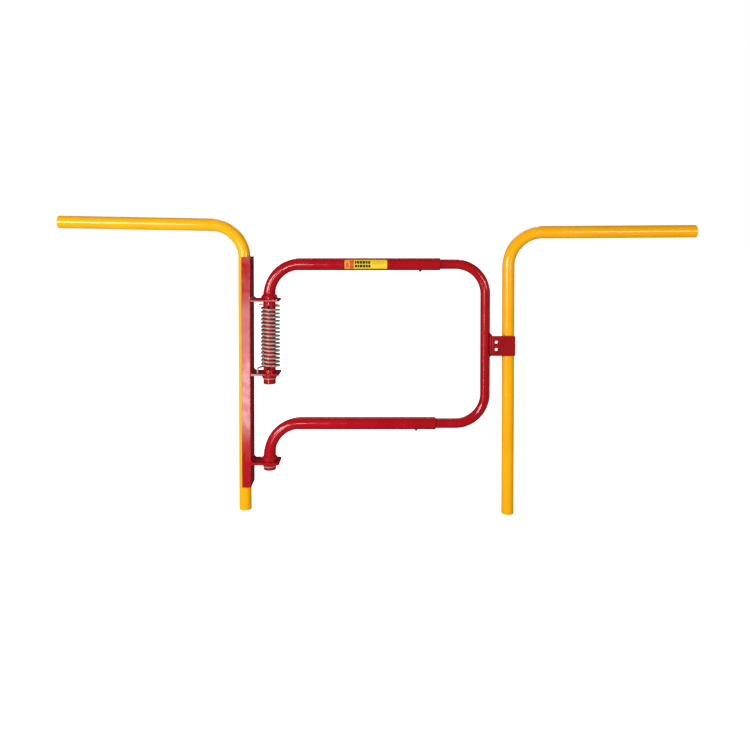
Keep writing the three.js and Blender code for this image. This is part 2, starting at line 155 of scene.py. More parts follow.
def powder(name, color, deep, light, rough=0.30, peel=1.0, streaks=0.0, specular=0.40):
    """Powder coat: cloudy film colour, orange peel, a little unevenness of gloss, specks and rolled streaks."""
    m, nt, bsdf = material(name, color, rough, specular=specular)
    vec = coords(nt)
    cloud = noise(nt, vec, 9.0, 3.0)
    tint = mix(nt, ramp(nt, cloud, 0.32, 0.68), deep, light)
    speck = ramp(nt, noise(nt, vec, 620.0, 1.0), 0.735, 0.80)
    tint = mix(nt, speck, tint, tuple(c * 0.45 for c in color))
    if streaks:
        rolled = noise(nt, coords(nt, (1.0, 1.0, 0.02)), 420.0, 2.0)
        tint = mix(nt, ramp(nt, rolled, 0.45, 0.70, 0.0, streaks), tint, tuple(c * 0.55 for c in color))
    nt.links.new(tint, bsdf.inputs["Base Color"])
    gloss = noise(nt, vec, 34.0, 4.0)
    nt.links.new(ramp(nt, gloss, 0.3, 0.7, rough - 0.04, rough + 0.06), bsdf.inputs["Roughness"])
    n1 = bump(nt, noise(nt, vec, 330.0, 2.0), 0.00009 * peel, 0.55)
    n2 = bump(nt, noise(nt, vec, 60.0, 2.0), 0.00016 * peel, 0.40, n1)
    if streaks:
        n2 = bump(nt, noise(nt, coords(nt, (1.0, 1.0, 0.015)), 300.0, 2.0), 0.00012, 0.5, n2)
    nt.links.new(n2, bsdf.inputs["Normal"])
    return m


YELLOW = powder(
    "yellow_powder_coat", (0.92, 0.405, 0.0022), (0.89, 0.385, 0.0018), (0.95, 0.425, 0.0026), rough=0.15, peel=0.7, specular=0.5
)
RED = powder("red_powder_coat", (0.365, 0.0042, 0.0085), (0.345, 0.0036, 0.0078), (0.385, 0.0048, 0.0095), rough=0.13, peel=0.7, specular=0.42)
# A darker copy of the red coat for the stop plate: painted shade on the same red paint as the tubes.
RED_PLATE_PAINTED_SHADE = powder("red_powder_coat_plate_painted_shade", (0.295, 0.0032, 0.0070), (0.275, 0.0028, 0.0062), (0.315, 0.0038, 0.0078), rough=0.30, specular=0.16)
# A lighter copy of the red coat for the channel: painted light on the same red paint as the tubes. The rolled streaks
# and specks are the channel's own marks.
RED_CHANNEL_PAINTED_LIGHT = powder(
    "red_powder_coat_channel_painted_light", (0.40, 0.0046, 0.0090), (0.37, 0.0040, 0.0082), (0.42, 0.0054, 0.0100),
    rough=0.16, peel=0.7, streaks=0.55, specular=0.5,
)
RED_WELD = powder("red_powder_coat_weld", (0.34, 0.0040, 0.0080), (0.30, 0.0034, 0.0070), (0.37, 0.0046, 0.0090), rough=0.33, peel=1.6)


def spring_steel():
    m, nt, bsdf = material("spring_steel_wire", (0.44, 0.41, 0.36), 0.38, metal=0.35)
    vec = coords(nt)
    blotch = ramp(nt, noise(nt, vec, 90.0, 4.0, 0.6), 0.35, 0.7)
    tint = mix(nt, blotch, (0.47, 0.44, 0.38), (0.30, 0.27, 0.22))
    oil = ramp(nt, noise(nt, vec, 420.0, 3.0), 0.60, 0.74)
    tint = mix(nt, oil, tint, (0.15, 0.125, 0.09))
    nt.links.new(tint, bsdf.inputs["Base Color"])
    nt.links.new(ramp(nt, noise(nt, vec, 150.0, 3.0), 0.3, 0.7, 0.30, 0.46), bsdf.inputs["Roughness"])
    nt.links.new(bump(nt, noise(nt, vec, 900.0, 2.0), 0.00006, 0.5), bsdf.inputs["Normal"])
    return m


def black_oxide():
    m, nt, bsdf = material("black_oxide_screw", (0.005, 0.005, 0.0055), 0.55, specular=0.22)
    vec = coords(nt)
    tint = mix(nt, ramp(nt, noise(nt, vec, 700.0, 3.0), 0.45, 0.75), (0.004, 0.004, 0.0045), (0.010, 0.0095, 0.009))
    nt.links.new(tint, bsdf.inputs["Base Color"])
    nt.links.new(ramp(nt, noise(nt, vec, 500.0, 2.0), 0.3, 0.7, 0.48, 0.64), bsdf.inputs["Roughness"])
    nt.links.new(bump(nt, noise(nt, vec, 1500.0, 2.0), 0.00003, 0.5), bsdf.inputs["Normal"])
    return m


def film(name, color, worn):
    m, nt, bsdf = material(name, color, 0.30)
    vec = coords(nt)
    tint = mix(nt, ramp(nt, noise(nt, vec, 240.0, 3.0), 0.35, 0.75), color, worn)
    nt.links.new(tint, bsdf.inputs["Base Color"])
    nt.links.new(ramp(nt, noise(nt, vec, 120.0, 2.0), 0.3, 0.7, 0.26, 0.36), bsdf.inputs["Roughness"])
    nt.links.new(bump(nt, noise(nt, vec, 260.0, 2.0), 0.00004, 0.4), bsdf.inputs["Normal"])
    return m


STEEL = spring_steel()
BLACK = black_oxide()
LABEL = film("label_yellow", (0.84, 0.60, 0.009), (0.78, 0.53, 0.008))
INK_BLACK = film("label_ink_black", (0.020, 0.018, 0.012), (0.032, 0.028, 0.018))
INK_ORANGE = film("label_ink_orange", (0.82, 0.28, 0.035), (0.76, 0.25, 0.03))
INK_RED = film("label_ink_red", (0.62, 0.085, 0.012), (0.56, 0.075, 0.010))
INK_OLIVE = film("label_ink_olive", (0.50, 0.36, 0.030), (0.46, 0.33, 0.028))


# ------------------------------------------------------------------ mesh helpers (lengths in mm)
def mesh_object(name, verts, faces, mat, sharp=32.0, outward=True):
    me = bpy.data.meshes.new(name)
    me.from_pydata([tuple(v) for v in (np.asarray(verts, float) * MM)], [], [tuple(int(i) for i in f) for f in faces])
    me.validate(clean_customdata=False)
    if outward:
        bm = bmesh.new()
        bm.from_mesh(me)
        bmesh.ops.recalc_face_normals(bm, faces=bm.faces)
        bm.to_mesh(me)
        bm.free()
    me.materials.append(mat)
    ob = bpy.data.objects.new(name, me)
    scene.collection.objects.link(ob)
    finish_shading(ob, sharp)
    return ob


def finish_shading(ob, sharp=32.0):
    ob.data.polygons.foreach_set("use_smooth", [True] * len(ob.data.polygons))
    ob.data.set_sharp_from_angle(angle=math.radians(sharp))
    ob.data.update()


def weighted(ob):
    w = ob.modifiers.new("weighted_normal", "WEIGHTED_NORMAL")
    w.weight = 80
    w.keep_sharp = True
    return ob


def place(ob, body, slot, *nodes):
    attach(ob, body)
    if nodes:
        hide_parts(*nodes)
    return ob


def join_parts(parts):
    """Several (verts, faces) lists as one."""
    verts, faces = [], []
    for v, f in parts:
        base = len(verts)
        verts.extend([tuple(p) for p in v])
        faces.extend([tuple(base + i for i in q) for q in f])
    return verts, faces


def inset_loop(loop, d):
    """A closed loop moved to its left by d, with mitred corners."""
    p = np.asarray(loop, float)
    a = p - np.roll(p, 1, 0)
    b = np.roll(p, -1, 0) - p
    a /= np.linalg.norm(a, axis=1, keepdims=True)
    b /= np.linalg.norm(b, axis=1, keepdims=True)
    na = np.stack([-a[:, 1], a[:, 0]], 1)
    nb = np.stack([-b[:, 1], b[:, 0]], 1)
    k = na + nb
    k *= 2.0 / np.maximum((k * k).sum(1, keepdims=True), 0.5)
    return p + k * d


def slab(outline, holes, z0, z1, bevel=0.5, steps=3, hole_bevel=None):
    """A plate between z0 and z1 with rounded-over edges. Outline counter-clockwise, holes clockwise."""
    hole_bevel = bevel if hole_bevel is None else hole_bevel
    loops = [(np.asarray(outline, float), bevel)] + [(np.asarray(h, float), hole_bevel) for h in holes]
    verts, faces, caps = [], [], {0: [], 1: []}
    for loop, b in loops:
        levels = []
        for k in range(steps + 1):
            f = math.pi / 2 * k / steps
            levels.append((z0 + b * (1 - math.cos(f)), b * (1 - math.sin(f))))
        for k in range(steps, -1, -1):
            f = math.pi / 2 * k / steps
            levels.append((z1 - b * (1 - math.cos(f)), b * (1 - math.sin(f))))
        n, base = len(loop), len(verts)
        for z, d in levels:
            ring = inset_loop(loop, d) if d > 1e-6 else loop
            verts.extend([(q[0], q[1], z) for q in ring])
        for r in range(len(levels) - 1):
            for i in range(n):
                j = (i + 1) % n
                faces.append((base + r * n + i, base + r * n + j, base + (r + 1) * n + j, base + (r + 1) * n + i))
        caps[0].append(range(base, base + n))
        caps[1].append(range(base + (len(levels) - 1) * n, base + len(levels) * n))
    for side, rings in caps.items():
        index = [i for r in rings for i in r]
        tris = tessellate_polygon([[Vector(verts[i]) for i in r] for r in rings])
        faces.extend([tuple(index[t] for t in tri) for tri in tris])
    return verts, faces


def circle(cx, cy, r, n=48, clockwise=False):
    step = -1 if clockwise else 1
    return [(cx + r * math.cos(step * 2 * math.pi * i / n), cy + r * math.sin(step * 2 * math.pi * i / n)) for i in range(n)]


def arc(cx, cy, r, a0, a1, n):
    return [
        (cx + r * math.cos(math.radians(a0 + (a1 - a0) * i / n)), cy + r * math.sin(math.radians(a0 + (a1 - a0) * i / n)))
        for i in range(n + 1)
    ]


def lathe(profile, n=72, centre=(0.0, 0.0), closed=True, phase=0.0, sweep=360.0):
    """A closed (radius, z) profile turned about a vertical axis at centre."""
    verts, faces = [], []
    full = sweep >= 359.9
    stations = n if full else n + 1
    m = len(profile)
    for i in range(stations):
        a = math.radians(phase + sweep * i / n)
        for r, z in profile:
            verts.append((centre[0] + r * math.cos(a), centre[1] + r * math.sin(a), z))
    for i in range(n):
        j = (i + 1) % stations
        for k in range(m if closed else m - 1):
            l = (k + 1) % m
            faces.append((i * m + k, j * m + k, j * m + l, i * m + l))
    if not full:
        faces.append(tuple(range(m)))
        faces.append(tuple(range((stations - 1) * m, stations * m))[::-1])
    return verts, faces


def rand(i, seed=0):
    """A repeatable value from 0 to 1 for the integer i."""
    x = math.sin(i * 12.9898 + seed * 78.233 + 4.1) * 43758.5453
    return x - math.floor(x)


def wave(x, seed=0):
    """Smooth repeatable noise from -1 to 1."""
    i = math.floor(x)
    f = x - i
    f = f * f * (3 - 2 * f)
    return 2 * (rand(i, seed) * (1 - f) + rand(i + 1, seed) * f) - 1


def bead(corner, leg_a, leg_b, length, pitch=2.6, seed=1, closed=False, taper=5.0, rows=9, depth=0.09, step=0.45, swell=0.22):
    """A rippled fillet weld. corner(s) is a point on the seam, leg_a(s) and leg_b(s) are the two legs as vectors."""
    n = max(12, int(length / step))
    stations = n if closed else n + 1
    verts, faces = [], []
    per = rows + 2
    for i in range(stations):
        s = length * i / n
        c, a, b = (np.asarray(f(s), float) for f in (corner, leg_a, leg_b))
        size = 1.0 + 0.06 * wave(s / 11.0, seed)
        if not closed:
            e = min(s, length - s) / taper
            size *= math.sqrt(max(0.02, 1 - (1 - min(e, 1.0)) ** 2))
        inner = c - 0.05 * (a + b)
        verts.append(tuple(inner))
        for k in range(rows + 1):
            v = k / rows
            phase = (s + 0.9 * pitch * (1 - (2 * v - 1) ** 2)) / pitch + 0.25 * wave(s / 7.0, seed + 3)
            saw = phase - math.floor(phase)
            ripple = depth * (1 - saw) * math.sin(math.pi * min(max(v, 0.06), 0.94))
            g = size * (1 - swell * math.sin(math.pi * v)) * (1 + ripple)
            w = math.pi / 2 * v
            verts.append(tuple(c + a * g * math.cos(w) ** 1.15 + b * g * math.sin(w) ** 1.15))
    for i in range(n):
        j = (i + 1) % stations
        for k in range(per):
            l = (k + 1) % per
            faces.append((i * per + k, j * per + k, j * per + l, i * per + l))
    if not closed:
        faces.append(tuple(range(per)))
        faces.append(tuple(range((stations - 1) * per, stations * per))[::-1])
    return verts, faces


def ring_bead(centre, r, z, out, up, seed):
    """A closed fillet weld round a vertical tube of radius r, on a face at height z. up may be negative."""

    def direction(s):
        a = s / r
        return np.array([math.cos(a), math.sin(a), 0.0])

    return bead(
        lambda s: np.array([centre[0], centre[1], z]) + direction(s) * r,
        lambda s: direction(s) * out,
        lambda s: np.array([0.0, 0.0, up]),
        2 * math.pi * r,
        seed=seed,
        closed=True,
        pitch=2 * math.pi * r / 46,
        step=2 * math.pi * r / 276,
    )


# ------------------------------------------------------------------ bent pipe
class Run:
    """A run of straight pipe with filleted corners in the XZ plane, by arc length."""

    def __init__(self, corners, radius):
        p = [np.array(c, float) for c in corners]
        self.parts, self.bends, s = [], [], 0.0
        here = p[0]
        for i in range(1, len(p) - 1):
            a = (p[i] - p[i - 1]) / np.linalg.norm(p[i] - p[i - 1])
            b = (p[i + 1] - p[i]) / np.linalg.norm(p[i + 1] - p[i])
            turn = math.acos(max(-1.0, min(1.0, float(a @ b))))
            start = p[i] - a * radius * math.tan(turn / 2)
            inward = b - a * float(a @ b)
            inward /= np.linalg.norm(inward)
            length = float(np.linalg.norm(start - here))
            self.parts.append(("line", s, length, here, a))
            s += length
            self.parts.append(("arc", s, radius * turn, start, a, inward, radius))
            self.bends.append((s, s + radius * turn))
            s += radius * turn
            here = p[i] + b * radius * math.tan(turn / 2)
        a = (p[-1] - here) / np.linalg.norm(p[-1] - here)
        self.parts.append(("line", s, float(np.linalg.norm(p[-1] - here)), here, a))
        self.length = s + float(np.linalg.norm(p[-1] - here))

    def at(self, s):
        for part in self.parts:
            if s <= part[1] + part[2] + 1e-9 or part is self.parts[-1]:
                break
        u = s - part[1]
        if part[0] == "line":
            return part[3] + part[4] * u, part[4]
        _, _, _, start, a, inward, radius = part
        w = u / radius
        return (
            start + a * radius * math.sin(w) + inward * radius * (1 - math.cos(w)),
            a * math.cos(w) + inward * math.sin(w),
        )

    def stations(self, coarse=22.0, fine=3.4, reach=34.0):
        out, s = [], 0.0
        edges = sorted([0.0, self.length] + [e for b in self.bends for e in b])
        marks = [0.0]
        while s < self.length - 1e-6:
            near = any(b0 - reach < s < b1 + reach for b0, b1 in self.bends)
            s = min(s + (fine if near else coarse), self.length)
            marks.append(s)
        for m in marks:
            if not out or m - out[-1] > 0.4:
                out.append(m)
        out[-1] = self.length
        return out

    def bend_weight(self, s, ramp_in=38.0):
        w = 0.0
        for b0, b1 in self.bends:
            for_in = min(max((s - b0 + 4) / ramp_in, 0.0), 1.0)
            for_out = min(max((b1 + 4 - s) / ramp_in, 0.0), 1.0)
            f = min(for_in, for_out)
            w = max(w, f * f * (3 - 2 * f))
        return w


def pipe(run, r, bore, thin=1.0, n=72, chamfer=0.7):
    """A pipe with a bore swept along run; thin is its width in the plane of a bend against the straight."""
    wall = r - bore
    stations = run.stations()
    outer = [(0.0, -chamfer), (chamfer, 0.0)] + [(s, 0.0) for s in stations[1:-1]]
    outer += [(run.length - chamfer, 0.0), (run.length, -chamfer)]
    inner = [(s, 0.0) for s in stations[1:-1]]
    inner = [(0.0, chamfer), (chamfer, 0.0)] + inner + [(run.length - chamfer, 0.0), (run.length, chamfer)]
    rings = [(s, r, d, True) for s, d in outer] + [(s, bore, d, False) for s, d in reversed(inner)]
    verts, faces = [], []
    for s, radius, d, outside in rings:
        (x, z), (tx, tz) = run.at(s)
        w = run.bend_weight(s)
        a = r * (1 - (1 - thin) * w)
        b = r * (1 + 0.45 * (1 - thin) * w)
        if not outside:
            a, b = a - wall, b - wall
        for i in range(n):
            q = 2 * math.pi * i / n
            u, v = (a + d) * math.cos(q), (b + d) * math.sin(q)
            verts.append((x - tz * u, v, z + tx * u))
    m = len(rings)
    for k in range(m):
        l = (k + 1) % m
        for i in range(n):
            j = (i + 1) % n
            faces.append((k * n + i, k * n + j, l * n + j, l * n + i))
    return verts, faces


def cylinder(p0, p1, r, n=32):
    """A closed cylinder used only for cutting."""
    p0, p1 = np.array(p0, float), np.array(p1, float)
    t = (p1 - p0) / np.linalg.norm(p1 - p0)
    u = np.cross(t, [0, 0, 1.0]) if abs(t[2]) < 0.9 else np.cross(t, [1.0, 0, 0])
    u /= np.linalg.norm(u)
    v = np.cross(t, u)
    verts = [tuple(p + r * (math.cos(2 * math.pi * i / n) * u + math.sin(2 * math.pi * i / n) * v)) for p in (p0, p1) for i in range(n)]
    faces = [(i, (i + 1) % n, n + (i + 1) % n, n + i) for i in range(n)]
    faces += [tuple(range(n))[::-1], tuple(range(n, 2 * n))]
    return verts, faces


def cut(ob, cutters):
    """Subtracts closed shapes from ob and keeps the result as its mesh."""
    made = []
    for k, (v, f) in enumerate(cutters):
        c = mesh_object(f"cutter_{k}", v, f, BLACK)
        made.append(c)
        mod = ob.modifiers.new(f"cut_{k}", "BOOLEAN")
        mod.operation = "DIFFERENCE"
        mod.solver = "EXACT"
        mod.object = c
    bpy.context.view_layer.update()
    dg = bpy.context.evaluated_depsgraph_get()
    me = bpy.data.meshes.new_from_object(ob.evaluated_get(dg))
    mat = ob.data.materials[0]
    ob.modifiers.clear()
    ob.data = me
    me.materials.clear()
    me.materials.append(mat)
    for c in made:
        bpy.data.objects.remove(c)
    finish_shading(ob)
    return ob


def pipe_normals(ob, run):
    """Round shading on the pipe's own surfaces, whatever the faces round a drilled hole look like."""
    me = ob.data
    s_table = np.linspace(0, run.length, 1200)
    centres = np.array([run.at(s)[0] for s in s_table])
    tangents = np.array([run.at(s)[1] for s in s_table])
    co = np.zeros(len(me.vertices) * 3)
    me.vertices.foreach_get("co", co)
    co = co.reshape(-1, 3) / MM
    radial = np.zeros_like(co)
    for i, p in enumerate(co):
        d = centres - p[[0, 2]]
        k = int(np.argmin((d * d).sum(1)))
        t = np.array([tangents[k][0], 0.0, tangents[k][1]])
        v = np.array([p[0] - centres[k][0], p[1], p[2] - centres[k][1]])
        v -= t * float(v @ t)
        radial[i] = v / max(np.linalg.norm(v), 1e-9)
    normals = np.zeros((len(me.loops), 3))
    for poly in me.polygons:
        f = np.array(poly.normal)
        for li in poly.loop_indices:
            r = radial[me.loops[li].vertex_index]
            d = float(f @ r)
            normals[li] = r if d > 0.97 else (-r if d < -0.97 else f)
    me.normals_split_custom_set([tuple(v) for v in normals])
    return ob


# ------------------------------------------------------------------ screws
def oriented(verts, origin, direction):
    """Verts made with the head at z = 0 facing +z, turned so that the head faces direction."""
    z = np.array(direction, float)
    z /= np.linalg.norm(z)
    x = np.cross([0.0, 0.0, 1.0], z) if abs(z[2]) < 0.9 else np.array([1.0, 0.0, 0.0])
    x /= np.linalg.norm(x)
    y = np.cross(z, x)
    o = np.array(origin, float)
    return [tuple(o + x * v[0] + y * v[1] + z * v[2]) for v in verts]


def socket_screw(profile, hex_flat, hex_depth, origin, direction, n=48):
    """A turned screw with a real hexagon socket. profile is (radius, z) from the tip's rim up to the head's rim."""

    def hexagon(i, flat):
        a = 2 * math.pi * i / n
        k = (a + math.pi / 6) % (math.pi / 3) - math.pi / 6
        return flat / 2 / math.cos(k)

    rings = [[(r, z) for _ in range(n)] for r, z in profile]
    rings.append([(hexagon(i, hex_flat) + 0.25, 0.0) for i in range(n)])
    rings.append([(hexagon(i, hex_flat), -0.25) for i in range(n)])
    rings.append([(hexagon(i, hex_flat), -hex_depth) for i in range(n)])
    verts = [(r * math.cos(2 * math.pi * i / n), r * math.sin(2 * math.pi * i / n), z) for ring in rings for i, (r, z) in enumerate(ring)]
    faces = []
    for k in range(len(rings) - 1):
        for i in range(n):
            j = (i + 1) % n
            faces.append((k * n + i, k * n + j, (k + 1) * n + j, (k + 1) * n + i))
    tip, base = len(verts), (len(rings) - 1) * n
    verts.append((0.0, 0.0, profile[0][1] - 0.3))
    verts.append((0.0, 0.0, -hex_depth - 0.7))
    faces += [(tip, (i + 1) % n, i) for i in range(n)]
    faces += [(tip + 1, base + i, base + (i + 1) % n) for i in range(n)]
    return oriented(verts, origin, direction), faces


# ------------------------------------------------------------------ the two rails
left_run = Run([(0, 15), (0, 992.4), (-634, 1004.3)], 116)
left_rail = mesh_object("left_rail_pipe", *pipe(left_run, PIPE_R, PIPE_BORE_R, thin=0.955), YELLOW)
cut(left_rail, [cylinder((9, 0, z), (30, 0, z), 5.4) for z in CHANNEL_SCREW_Z])
pipe_normals(left_rail, left_run)
place(left_rail, POSTS, "yellow_enamel", "left_rail")

right_run = Run([(904, 0), (904, 968.2), (1544.2, 972.4)], 118)
right_rail = mesh_object("right_rail_pipe", *pipe(right_run, PIPE_R, PIPE_BORE_R, thin=0.97), YELLOW)
place(right_rail, POSTS, "yellow_enamel", "right_rail")


# ------------------------------------------------------------------ mounting channel
def channel_outline():
    f = HALF - FLANGE_T
    o, i, toe = 2.4, 4.2, 1.5
    pts = []
    pts += arc(LIP + toe, -HALF + toe * 0.6, toe * 0.6, 180, 270, 4)
    pts += arc(WEB_OUT - o, -HALF + o, o, -90, 0, 8)
    pts += arc(WEB_OUT - o, HALF - o, o, 0, 90, 8)
    pts += arc(LIP + toe, HALF - toe * 0.6, toe * 0.6, 90, 180, 4)
    pts += arc(LIP + toe, f + toe, toe, 180, 270, 5)
    pts += arc(WEB_IN - i, f - i, i, 90, 0, 8)
    pts += arc(WEB_IN - i, -f + i, i, 0, -90, 8)
    pts += arc(LIP + toe, -f - toe, toe, 90, 180, 5)
    out = []
    for p in pts:
        if not out or math.dist(p, out[-1]) > 0.05:
            out.append(p)
    return out


# The channel takes the lighter red copy: painted light.
channel = mesh_object("channel_section", *slab(channel_outline(), [], *CHANNEL_Z, bevel=0.35, steps=2), RED_CHANNEL_PAINTED_LIGHT)
cone = []
for z in CHANNEL_SCREW_Z:
    v, f = lathe([(0.001, -8), (5.2, -8), (5.2, -0.2), (9.6, 4.3), (9.6, 8), (0.001, 8)], n=48)
    cone.append((oriented(v, (WEB_IN + 0.3, 0, z), (1, 0, 0)), f))
cut(channel, cone)
weighted(channel)
place(channel, POSTS, "red_enamel", "mounting_channel")

for where, z in zip(("lower", "upper"), CHANNEL_SCREW_Z):
    v, f = socket_screw(
        [(4.0, -15.0), (4.6, -14.4), (4.6, -4.5), (8.8, -0.35), (8.6, 0.0)], 5.6, 2.8, (WEB_OUT, 0, z), (1, 0, 0)
    )
    place(mesh_object(f"channel_screw_{where}_head", v, f, BLACK), POSTS, "black_screw", f"channel_screw_{where}")


# ------------------------------------------------------------------ hinge ears
def ear(where):
    top = EAR_TOP[where]
    x0, x1, r = 26.3, 120.0, 5.0
    outline = [(x0, HALF), (x0, -HALF)] + arc(x1 - r, -HALF + r, r, -90, 0, 8) + arc(x1 - r, HALF - r, r, 0, 90, 8)
    holes = [circle(HINGE_X, 0, 21.5, 96, clockwise=True)]
    if where == "middle":
        holes.append(circle(45.3, -13, 3.8, 28, clockwise=True))
    ob = mesh_object(f"{where}_ear_plate", *slab(outline, holes, top - EAR_T, top, bevel=0.8, hole_bevel=0.3), RED)
    weighted(ob)
    place(ob, POSTS, "red_enamel", f"{where}_ear")
    size = 7.0
    parts = [
        bead(
            lambda s: (x0 - 0.2, -HALF + 1.0 + s, top - 0.3),
            lambda s: (size, 0, 0),
            lambda s: (0, 0, size * 1.05),
            2 * HALF - 2.0,
            seed=len(where),
            taper=4.0,
        )
    ]
    weld = mesh_object(f"{where}_ear_weld", *join_parts(parts), RED_WELD, sharp=60)
    place(weld, POSTS, "red_enamel")


for where in ("upper", "middle", "lower"):
    ear(where)


# ------------------------------------------------------------------ swinging arms
upper_run = Run([(670, UPPER_Z), (HINGE_X, UPPER_Z), (HINGE_X, 449)], 106)
lower_run = Run([(655, LOWER_Z), (HINGE_X, LOWER_Z), (HINGE_X, 152.7)], 106)
LOCK_X = {"upper": 602.0, "lower": 588.2}
SPRING_SCREW_Z = {"upper": 713.5, "lower": 504.4}
TANG_Z = 721.0

upper_arm = mesh_object("upper_arm_pipe", *pipe(upper_run, PIPE_R, PIPE_BORE_R, thin=0.92), RED)
cut(
    upper_arm,
    [cylinder((HINGE_X, -27, z), (HINGE_X, -10, z), 5.2) for z in SPRING_SCREW_Z.values()]
    + [
        cylinder((HINGE_X - 27, 0, TANG_Z), (HINGE_X + 27, 0, TANG_Z), 3.8),
        cylinder((LOCK_X["upper"], 0, UPPER_Z - 27), (LOCK_X["upper"], 0, UPPER_Z - 10), 4.4),
    ],
)
pipe_normals(upper_arm, upper_run)
place(upper_arm, GATE, "red_enamel", "upper_arm")

lower_arm = mesh_object("lower_arm_pipe", *pipe(lower_run, PIPE_R, PIPE_BORE_R, thin=0.90), RED)
cut(lower_arm, [cylinder((LOCK_X["lower"], 0, LOWER_Z - 27), (LOCK_X["lower"], 0, LOWER_Z - 10), 4.4)])
pipe_normals(lower_arm, lower_run)
place(lower_arm, GATE, "red_enamel", "lower_arm")


# ------------------------------------------------------------------ collars
def collar(name, node, z, side, height, seed):
    body = min(8.7, height - 5)
    r, c = 27.5, 0.8
    bore = PIPE_R + 0.3
    profile = [(bore, 0), (r - c, 0)]
    profile += [(r - c + c * math.sin(math.radians(t)), c - c * math.cos(math.radians(t))) for t in (30, 60, 90)]
    profile += [(r - c + c * math.cos(math.radians(t)), body - c + c * math.sin(math.radians(t))) for t in (0, 30, 60, 90)]
    profile += [(bore, body)]
    profile = [(q, z + side * h) for q, h in profile]
    ob = mesh_object(name, *lathe(profile, n=96, centre=(HINGE_X, 0)), RED)
    weighted(ob)
    place(ob, GATE, "red_enamel", node)
    weld = ring_bead((HINGE_X, 0), PIPE_R + 0.15, z + side * (body - 0.1), r - PIPE_R - 0.9, side * (height - body), seed)
    place(mesh_object(name + "_weld", *weld, RED_WELD, sharp=60), GATE, "red_enamel")


collar("upper_thrust_ring", "upper_thrust_collar", EAR_TOP["upper"] + 0.4, 1, 15.7, 5)
collar("lower_thrust_ring", "lower_thrust_collar", EAR_TOP["lower"] + 0.4, 1, 15.7, 9)
collar("middle_retaining_ring", "middle_retaining_collar", EAR_TOP["middle"] - EAR_T - 0.4, -1, 11.6, 13)
collar("lower_retaining_ring", "lower_retaining_collar", EAR_TOP["lower"] - EAR_T - 0.4, -1, 9.4, 17)


def snap_ring(name, node, top):
    """An open retaining ring with two lugs, each with a plier hole."""
    bore, out, t = 21.35, 23.7, 2.6
    gap = 11.0
    e = 0.25
    profile = [(bore, top - t + e), (bore + e, top - t), (out - e, top - t), (out, top - t + e), (out, top - e), (out - e, top), (bore + e, top), (bore, top - e)]
    parts = [lathe(profile, n=90, centre=(HINGE_X, 0), phase=90 + gap, sweep=360 - 2 * gap)]
    for sign in (-1, 1):
        a = math.radians(90 + sign * (gap + 4.0))
        cx, cy = HINGE_X + 24.6 * math.cos(a), 24.6 * math.sin(a)
        parts.append(slab(circle(cx, cy, 2.7, 28), [circle(cx, cy, 1.0, 16, clockwise=True)], top - t, top, bevel=0.25, steps=2))
    place(mesh_object(name, *join_parts(parts), STEEL), GATE, "spring_steel", node)


snap_ring("middle_snap_ring_clip", "middle_snap_ring", 469.8)
snap_ring("lower_snap_ring_clip", "lower_snap_ring", 166.8)

# ------------------------------------------------------------------ set screws
SET = [(3.3, -4.6), (4.0, -3.9), (4.0, -0.5), (3.55, 0.0)]
for where, z in SPRING_SCREW_Z.items():
    v, f = socket_screw(SET, 3.9, 2.2, (HINGE_X, -(PIPE_R + 0.2), z), (0, -1, 0))
    place(mesh_object(f"{where}_spring_set_screw", v, f, BLACK), GATE, "black_screw", f"{where}_spring_screw")
LOCK = [(3.3, -8.6), (4.0, -7.9), (4.0, -0.5), (3.55, 0.0)]
for where, axis_z in (("upper", UPPER_Z), ("lower", LOWER_Z)):
    v, f = socket_screw(LOCK, 3.9, 2.2, (LOCK_X[where], 0, axis_z - INNER_R - 0.35 - 8.6), (0, 0, -1))
    place(mesh_object(f"{where}_lock_set_screw", v, f, BLACK), GATE, "black_screw", f"{where}_lock_screw")


# ------------------------------------------------------------------ torsion spring
def spring_path():
    c, s = (lambda a: math.cos(math.radians(a))), (lambda a: math.sin(math.radians(a)))

    def coil(a):
        return np.array([HINGE_X + 3.6 + 30.0 * c(a), 30.0 * s(a), 706.0 - 12.75 * (a + 90) / 360])

    first, last = -345.0, -90.0 + 15 * 360 + 242
    hx, hy = 45.3, -13.0
    e = coil(last)
    z = e[2] - 1
    head = [np.array(p, float) for p in [(HINGE_X + 0, 0, TANG_Z), (HINGE_X + 16, 0, TANG_Z), (HINGE_X + 23.0, 0.3, TANG_Z - 0.2), (HINGE_X + 28.6, 2.6, TANG_Z - 2.0)]]
    tail = [np.array(p, float) for p in [
        (e[0] + (hx - e[0]) * 0.5, e[1] + (hy - e[1]) * 0.5, z + 0.3),
        (hx + (e[0] - hx) * 0.14, hy + (e[1] - hy) * 0.14, z - 0.6),
        (hx, hy, z - 5),
        (hx, hy, EAR_TOP["middle"] - 5.5),
    ]]
    pts = [np.array([HINGE_X - 36.0, 0, TANG_Z]), np.array([HINGE_X - 35.2, 0, TANG_Z])]
    pts += [np.array([HINGE_X + x, 0, TANG_Z]) for x in (-28.0, -18.0, -8.0)]

    def smooth(control, k0, k1, sub=10):
        out = []
        for i in range(k0, k1):
            p0, p1, p2, p3 = control[max(i - 1, 0)], control[i], control[i + 1], control[min(i + 2, len(control) - 1)]
            for j in range(sub):
                t = j / sub
                out.append(0.5 * ((2 * p1) + (p2 - p0) * t + (2 * p0 - 5 * p1 + 4 * p2 - p3) * t * t + (3 * p1 - p0 - 3 * p2 + p3) * t**3))
        return out

    start = [np.array([HINGE_X - 8.0, 0, TANG_Z])] + head + [coil(first), coil(first + 14), coil(first + 28)]
    pts += smooth(start, 1, 6, 8)
    a = first + 14
    while a < last - 14:
        pts.append(coil(a))
        a += 6.0
    end = [coil(last - 26), coil(last - 14), coil(last)] + tail
    pts += smooth(end, 1, len(end) - 1, 8)
    pts += [tail[-1] + np.array([0, 0, 0.6]), tail[-1]]
    out = []
    for p in pts:
        if not out or np.linalg.norm(p - out[-1]) > 0.25:
            out.append(p)
    return out


